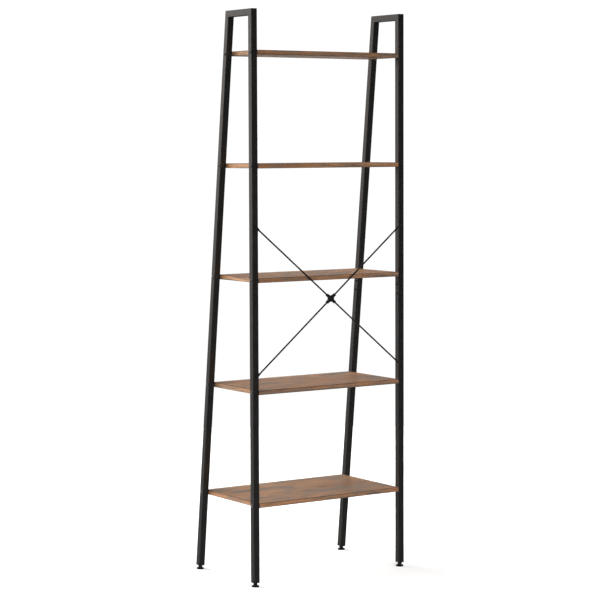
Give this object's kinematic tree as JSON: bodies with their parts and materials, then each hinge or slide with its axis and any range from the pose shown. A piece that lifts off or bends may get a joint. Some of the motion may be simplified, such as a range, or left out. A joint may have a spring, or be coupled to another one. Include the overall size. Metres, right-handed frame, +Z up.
{
  "type": "ladder shelf",
  "caption": "Tall open ladder shelf: vertical rear posts, leaning front posts, wood-look boards between two square-tube steel side frames, an X-brace at the rear and levelling feet.",
  "frame": {"origin": "centre of the bounding box, on the floor", "axes": "+X along the boards to the right as seen from the front, -Y towards the front where the posts lean, +Z up"},
  "size_m": [0.562, 0.3504, 1.72],
  "materials": {
    "steel": "satin black powder coat",
    "board": "rustic greyish brown wood-grain laminate, matte",
    "fastener": "black zinc",
    "plastic": "moulded black"
  },
  "bodies": {
    "frame": {"brace_hub": "plastic", "brace_rod_lower_left": "steel", "brace_rod_lower_right": "steel", "brace_rod_upper_left": "steel", "brace_rod_upper_right": "steel", "brace_screw_lower_left": "fastener", "brace_screw_lower_right": "fastener", "brace_screw_upper_left": "fastener", "brace_screw_upper_right": "fastener", "lower_post_front_left": "steel", "lower_post_front_right": "steel", "lower_post_rear_left": "steel", "lower_post_rear_right": "steel", "shelf_1": "board", "shelf_2": "board", "shelf_3": "board", "shelf_4": "board", "shelf_5": "board", "shelf_bolt_1_front_left": "fastener", "shelf_bolt_1_front_right": "fastener", "shelf_bolt_1_rear_left": "fastener", "shelf_bolt_1_rear_right": "fastener", "shelf_bolt_2_front_left": "fastener", "shelf_bolt_2_front_right": "fastener", "shelf_bolt_2_rear_left": "fastener", "shelf_bolt_2_rear_right": "fastener", "shelf_bolt_3_front_left": "fastener", "shelf_bolt_3_front_right": "fastener", "shelf_bolt_3_rear_left": "fastener", "shelf_bolt_3_rear_right": "fastener", "shelf_bolt_4_front_left": "fastener", "shelf_bolt_4_front_right": "fastener", "shelf_bolt_4_rear_left": "fastener", "shelf_bolt_4_rear_right": "fastener", "shelf_bolt_5_front_left": "fastener", "shelf_bolt_5_front_right": "fastener", "shelf_bolt_5_rear_left": "fastener", "shelf_bolt_5_rear_right": "fastener", "splice_screw_front_left_lower": "fastener", "splice_screw_front_left_upper": "fastener", "splice_screw_front_right_lower": "fastener", "splice_screw_front_right_upper": "fastener", "splice_screw_rear_left_lower": "fastener", "splice_screw_rear_left_upper": "fastener", "splice_screw_rear_right_lower": "fastener", "splice_screw_rear_right_upper": "fastener", "splice_sleeve_front_left": "steel", "splice_sleeve_front_right": "steel", "splice_sleeve_rear_left": "steel", "splice_sleeve_rear_right": "steel", "upper_frame_left": "steel", "upper_frame_right": "steel"},
    "foot_pad_front_left": {"foot_pad_front_left": "plastic"},
    "foot_stem_front_left": {"foot_stem_front_left": "fastener"},
    "foot_pad_rear_left": {"foot_pad_rear_left": "plastic"},
    "foot_stem_rear_left": {"foot_stem_rear_left": "fastener"},
    "foot_pad_front_right": {"foot_pad_front_right": "plastic"},
    "foot_stem_front_right": {"foot_stem_front_right": "fastener"},
    "foot_pad_rear_right": {"foot_pad_rear_right": "plastic"},
    "foot_stem_rear_right": {"foot_stem_rear_right": "fastener"}
  },
  "joints": [
    {"name": "foot_travel_front_left", "type": "slide", "parent": "frame", "child": "foot_pad_front_left", "axis": [0, -0.1129, -0.9936], "range_m": [0, 0.01]},
    {"name": "foot_turn_front_left", "type": "hinge", "parent": "foot_pad_front_left", "child": "foot_stem_front_left", "pos_m": [-0.268, -0.16367, 0.0042], "axis": [0, -0.1129, -0.9936], "range_deg": [0, 2880]},
    {"name": "foot_travel_rear_left", "type": "slide", "parent": "frame", "child": "foot_pad_rear_left", "axis": [0, 0, -1], "range_m": [0, 0.01]},
    {"name": "foot_turn_rear_left", "type": "hinge", "parent": "foot_pad_rear_left", "child": "foot_stem_rear_left", "pos_m": [-0.268, 0.15668, 0.0042], "axis": [0, 0, -1], "range_deg": [0, 2880]},
    {"name": "foot_travel_front_right", "type": "slide", "parent": "frame", "child": "foot_pad_front_right", "axis": [0, -0.1129, -0.9936], "range_m": [0, 0.01]},
    {"name": "foot_turn_front_right", "type": "hinge", "parent": "foot_pad_front_right", "child": "foot_stem_front_right", "pos_m": [0.268, -0.16367, 0.0042], "axis": [0, -0.1129, -0.9936], "range_deg": [0, 2880]},
    {"name": "foot_travel_rear_right", "type": "slide", "parent": "frame", "child": "foot_pad_rear_right", "axis": [0, 0, -1], "range_m": [0, 0.01]},
    {"name": "foot_turn_rear_right", "type": "hinge", "parent": "foot_pad_rear_right", "child": "foot_stem_rear_right", "pos_m": [0.268, 0.15668, 0.0042], "axis": [0, 0, -1], "range_deg": [0, 2880]}
  ],
  "couplings": [
    {"joint": "foot_travel_front_left", "follows": "foot_turn_front_left", "m_per_rad": 0.00019894},
    {"joint": "foot_travel_rear_left", "follows": "foot_turn_rear_left", "m_per_rad": 0.00019894},
    {"joint": "foot_travel_front_right", "follows": "foot_turn_front_right", "m_per_rad": 0.00019894},
    {"joint": "foot_travel_rear_right", "follows": "foot_turn_rear_right", "m_per_rad": 0.00019894}
  ]
}
